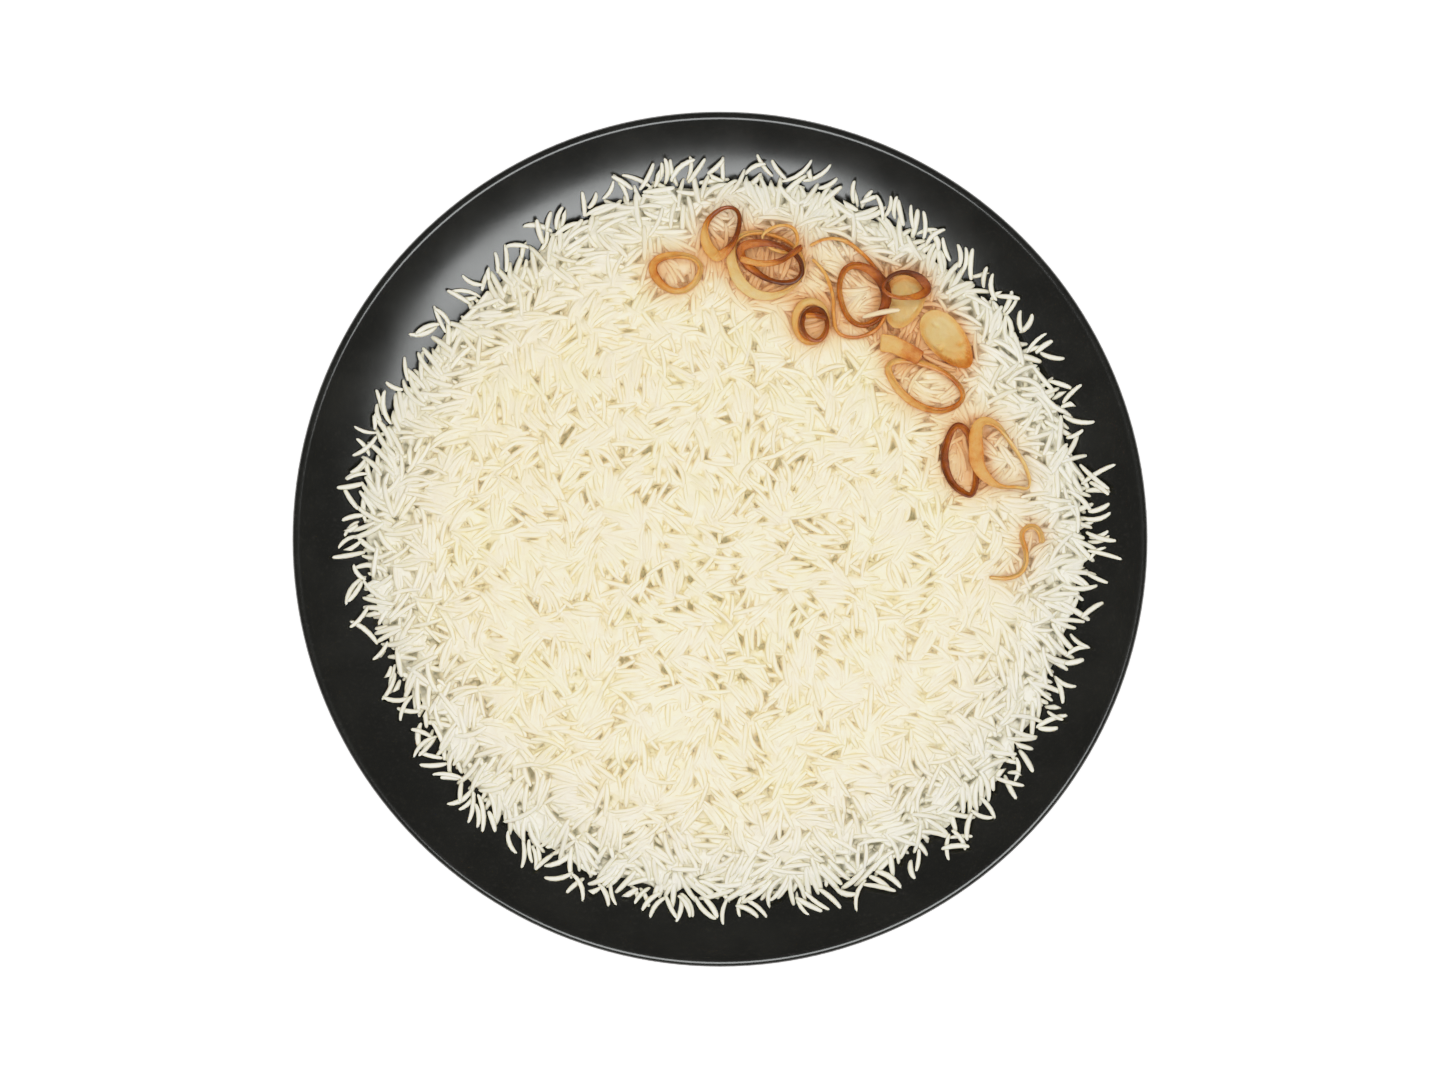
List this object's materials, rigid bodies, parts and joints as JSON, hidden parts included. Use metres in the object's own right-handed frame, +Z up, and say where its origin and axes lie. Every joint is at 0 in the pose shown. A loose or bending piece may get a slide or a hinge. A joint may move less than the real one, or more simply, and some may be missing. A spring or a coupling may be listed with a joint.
{
  "type": "plated biryani rice",
  "caption": "Round coupe plate heaped with loose long-grain rice, with fried onion rings and strands scattered along one side of the heap.",
  "frame": {"origin": "middle of the underside of the plate's foot ring", "axes": "+Z up, out of the plate; +X to the picture's right and +Y to its top, seen straight down"},
  "size_m": [0.32, 0.32, 0.0358],
  "materials": {
    "plate": "satin black glaze",
    "rice": "moist cooked grain, soft sheen",
    "onion_pale": "thin translucent onion, lightly fried, oily",
    "onion_golden": "golden fried onion, oily",
    "onion_brown": "dark fried onion, oily"
  },
  "bodies": {
    "root": {"plate": "plate", "rice": "rice", "onion_ring_01": "onion_golden", "onion_ring_02": "onion_brown", "onion_ring_03": "onion_golden", "onion_ring_04": "onion_pale", "onion_ring_05": "onion_brown", "onion_ring_06": "onion_golden", "onion_ring_07": "onion_brown", "onion_ring_08": "onion_brown", "onion_ring_09": "onion_brown", "onion_ring_10": "onion_golden", "onion_ring_11": "onion_brown", "onion_ring_12": "onion_pale", "onion_slice_01": "onion_pale", "onion_slice_02": "onion_pale", "onion_strand_01": "onion_brown", "onion_strand_02": "onion_pale", "onion_strand_03": "onion_brown", "onion_strand_04": "onion_golden", "onion_strand_05": "onion_pale"}
  },
  "joints": []
}
